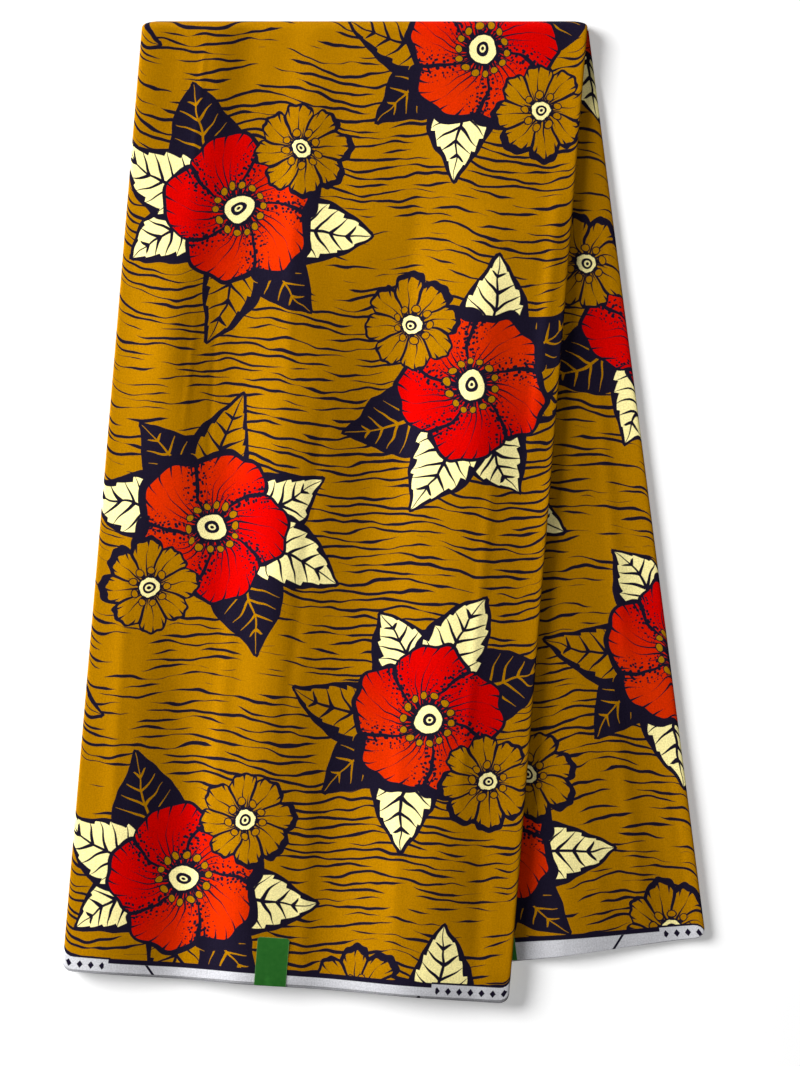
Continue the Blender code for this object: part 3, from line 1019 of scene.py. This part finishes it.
# The glaze's soft gloss has the dye's own colour, as a metal's has, and hardly any white
GLAZE = 0.14
COTTON_ROUGHNESS = (0.12, 0.45)
WHITE_GLOSS = 0.01
WHITE_GLOSS_TINT = (0.25, 0.25, 0.25, 1.0)


def make_printed_cotton(name, shade_tone):
    """Fine plain-woven cotton, printed right through, with a slight sheen. Its shade_tone darkens it
    all, as painted shade.
    """
    material, tree, shader = new_material(name)
    cloth = cloth_uv(tree, 100.0)
    colour = paint_selvedge(tree, paint_print(tree, cloth), cloth)
    x, y = separate(tree, cloth)
    warp = (x * (2 * math.pi * THREADS_PER_CM)).sine()
    weft = (y * (2 * math.pi * THREADS_PER_CM)).sine()
    weave = warp * weft
    fine, coarse = SLUB_SCALES
    slubs = noise_field(tree, combine(tree, x * fine, y * coarse), 1.0, 2.0)
    slubs = slubs + noise_field(tree, combine(tree, x * coarse, y * fine), 1.0, 2.0)
    dye = noise_field(tree, cloth, DYE_SCALE, 3.0)
    flecks = noise_field(tree, cloth, FLECK_SCALE, 1.0)
    uneven = dye * DYE_SHARE + slubs * SLUB_SHARE + flecks * FLECK_SHARE + weave * WEAVE_SHARE
    inputs = {"Value": uneven.times_plus(shade_tone, EVEN_SHARE * shade_tone), "Color": colour}
    colour = add_node(tree, "ShaderNodeHueSaturation", inputs=inputs).outputs[0]
    plug(tree, shader.inputs["Base Color"], colour)
    plug(tree, shader.inputs["Roughness"], slubs.times_plus(*COTTON_ROUGHNESS))
    shader.inputs["Metallic"].default_value = GLAZE
    shader.inputs["Specular IOR Level"].default_value = WHITE_GLOSS
    shader.inputs["Specular Tint"].default_value = WHITE_GLOSS_TINT
    add_bump(tree, shader, *COTTON_BUMP, weave * WEAVE_BUMP + slubs * SLUB_BUMP)
    return material


# The labels' paper: two greens in soft blots, made paler along its rim by a painted highlight
LABEL_GREENS = ((0.011, 0.092, 0.010), (0.018, 0.112, 0.014))
LABEL_RIM_HIGHLIGHT = (0.16, 0.30, 0.12)
BLOT_SCALE = 0.35
BLOT_CONTRAST = (1.4, -0.2)
FIBRE_SCALES = (1.6, 0.5)
FIBRES_AT_RIM = 0.5
RIM_HIGHLIGHT_SHARE = 0.55
HIGHLIGHT_AT_RIM = 1.6
HIGHLIGHT_FADE = 2.5
PAPER_ROUGHNESS = (0.25, 0.40)
PAPER_GLOSS = 0.15
PAPER_BUMP = (0.4, 0.00006)


def make_label_paper():
    """Thin green coated paper, mottled, with a painted highlight that pales its rim. Its place is in
    millimetres.
    """
    material, tree, shader = new_material("label_paper")
    label = cloth_uv(tree, 1000.0)
    x, y = separate(tree, label)
    fine, coarse = FIBRE_SCALES
    fibres = noise_field(tree, combine(tree, x * fine, y * coarse), 1.0, 4.0)
    blots = noise_field(tree, label, BLOT_SCALE, 2.0)
    green = mixed(tree, blots.times_plus(*BLOT_CONTRAST, clamp=True), *LABEL_GREENS)
    rim = (x.lesser(LABEL_WIDTH * 1000 - x)).lesser(LABEL_LENGTH * 1000 - y)
    # Painted highlight: the paper turns paler towards its rim
    rim_highlight = (rim + fibres * FIBRES_AT_RIM).times_plus(-HIGHLIGHT_FADE, HIGHLIGHT_AT_RIM, clamp=True)
    plug(tree, shader.inputs["Base Color"], mixed(tree, rim_highlight * RIM_HIGHLIGHT_SHARE, green, LABEL_RIM_HIGHLIGHT))
    plug(tree, shader.inputs["Roughness"], fibres.times_plus(*PAPER_ROUGHNESS))
    shader.inputs["Specular IOR Level"].default_value = PAPER_GLOSS
    add_bump(tree, shader, *PAPER_BUMP, fibres)
    return material


# The floor is a light table, which softens the cloth's shadow
FLOOR_SIZE = 12.0
FLOOR_HEIGHT = -0.0001
FLOOR_PALES = ((0.90, 0.90, 0.90), (0.93, 0.93, 0.93))
FLOOR_GRAIN = 30.0
FLOOR_ROUGHNESS = 0.9
FLOOR_GLOW = 0.33


def make_floor():
    """A wide, plain, almost white floor."""
    bpy.ops.mesh.primitive_plane_add(size=FLOOR_SIZE, location=(0.0, 0.0, FLOOR_HEIGHT))
    floor = bpy.context.object
    floor.name = "floor"
    material, tree, shader = new_material("pale_floor")
    place = add_node(tree, "ShaderNodeTexCoord").outputs["Object"]
    grain = noise_field(tree, place, FLOOR_GRAIN, 3.0, "3D")
    plug(tree, shader.inputs["Base Color"], mixed(tree, grain, *FLOOR_PALES))
    shader.inputs["Roughness"].default_value = FLOOR_ROUGHNESS
    shader.inputs["Specular IOR Level"].default_value = 0.0
    shader.inputs["Emission Color"].default_value = (1.0, 1.0, 1.0, 1.0)
    shader.inputs["Emission Strength"].default_value = FLOOR_GLOW
    floor.data.materials.append(material)


# The lights, all from the upper left: a soft key light, and a low one that rakes the cloth alone.
# Half of the low light casts shadows on the cloth, and half of it casts none
Lamp = namedtuple("Lamp", "name place size energy shadow cloth_alone")
LAMPS = (
    Lamp("key", (-3.50, 1.70, 3.50), size=2.9, energy=325.0, shadow=True, cloth_alone=False),
    Lamp("rake", (-2.20, 0.90, 0.62), size=1.2, energy=82.0, shadow=True, cloth_alone=True),
    Lamp("rake_fill", (-2.20, 0.90, 0.62), size=2.0, energy=82.0, shadow=False, cloth_alone=True),
)
WORLD_LIGHT = 0.09


def add_light(lamp):
    data = bpy.data.lights.new(lamp.name, "AREA")
    data.shape = "DISK"
    data.size = lamp.size
    data.energy = lamp.energy
    data.use_shadow = lamp.shadow
    light = bpy.data.objects.new(lamp.name, data)
    light.location = lamp.place
    light.rotation_mode = "QUATERNION"
    light.rotation_quaternion = Vector(lamp.place).to_track_quat("Z", "Y")
    bpy.context.scene.collection.objects.link(light)
    if lamp.cloth_alone:
        light.light_linking.receiver_collection = RAKED


def make_light():
    """A faint, even white light from all round, and round lamps that face the cloth."""
    scene = bpy.context.scene
    world = bpy.data.worlds.new("studio")
    world.use_nodes = True
    background = world.node_tree.nodes["Background"]
    background.inputs["Color"].default_value = (1.0, 1.0, 1.0, 1.0)
    background.inputs["Strength"].default_value = WORLD_LIGHT
    scene.world = world
    for lamp in LAMPS:
        add_light(lamp)
    scene.view_settings.view_transform = "Standard"


def make_camera():
    """Straight above the cloth, with a long lens."""
    camera = bpy.data.objects.new("camera", bpy.data.cameras.new("camera"))
    camera.data.sensor_fit = "AUTO"
    camera.data.sensor_width = SENSOR * 1000
    camera.data.lens = LENS * 1000
    tall = FRAME_PIXELS[1] * METRES_PER_PIXEL
    x = (FRAME_PIXELS[0] / 2 - FOLD_PIXEL[0]) * METRES_PER_PIXEL - ORIGIN[0]
    y = (FOLD_PIXEL[1] - FRAME_PIXELS[1] / 2) * METRES_PER_PIXEL - ORIGIN[1]
    camera.location = (x, y, CLOTH_TOP + tall * LENS / SENSOR)
    bpy.context.scene.collection.objects.link(camera)
    bpy.context.scene.camera = camera


ORIGIN = np.array((*middle_of_box(), 0.0))

# What the low lamps light
RAKED = bpy.data.collections.new("raked")


def make_cloth():
    """The outer and inner layer of each tail, and the edges of the layers between them."""
    cotton = make_printed_cotton("wax_print_cotton", 1.0)
    # The inner layers and their side folds are a darker copy of the cotton: painted shade
    shaded_inner_cotton = make_printed_cotton("wax_print_cotton_inner_painted_shade", INNER_SHADE_TONE)
    # The hems' edges are a still darker copy of the cotton: painted shade
    shaded_hem_cotton = make_printed_cotton("wax_print_cotton_hems_painted_shade", HEM_SHADE_TONE)
    tail = tail_ways(ROW_STEP)
    front = np.append(-tail[::-1], 0.0)
    back = np.append(1 + tail[::-1], 1.0)
    over_turn = np.concatenate((-tail[::-1], np.linspace(0.0, 1.0, TURN_STEPS + 1)))
    front_top = add_face("front_top", FRONT, 0, over_turn, cotton)
    back_bottom = add_face("back_bottom", BACK, 0, back, cotton)
    front_bottom = add_face("front_bottom", FRONT, LAYERS - 1, front, shaded_inner_cotton)
    back_top = add_face("back_top", BACK, LAYERS - 1, back, shaded_inner_cotton)
    left_folds = add_side_folds("left_folds", True, range(2, LAYERS - 2, 2), shaded_inner_cotton)
    right_folds = add_side_folds("right_folds", False, range(1, LAYERS - 2, 2), shaded_inner_cotton)
    front_hems = add_hem_edges("front_hems", FRONT, range(1, LAYERS - 1), shaded_hem_cotton)
    back_hems = add_hem_edges("back_hems", BACK, range(1, LAYERS - 1), shaded_hem_cotton)
    for piece in (front_top, back_bottom):
        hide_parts("outer_layer")
    for piece in (back_top, front_bottom):
        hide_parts("inner_layer")
    for piece in (left_folds, right_folds, front_hems, back_hems):
        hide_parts("folded_layers")


def make_labels():
    paper = make_label_paper()
    front = add_label("front_label_paper", FRONT, FRONT_LABEL_LEFT, 0, paper)
    back = add_label("back_label_paper", BACK, BACK_LABEL_LEFT, LAYERS - 1, paper)
    for piece, node in ((front, "front_label"), (back, "back_label")):
        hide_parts(node)


make_cloth()
make_labels()
make_floor()
make_light()
make_camera()
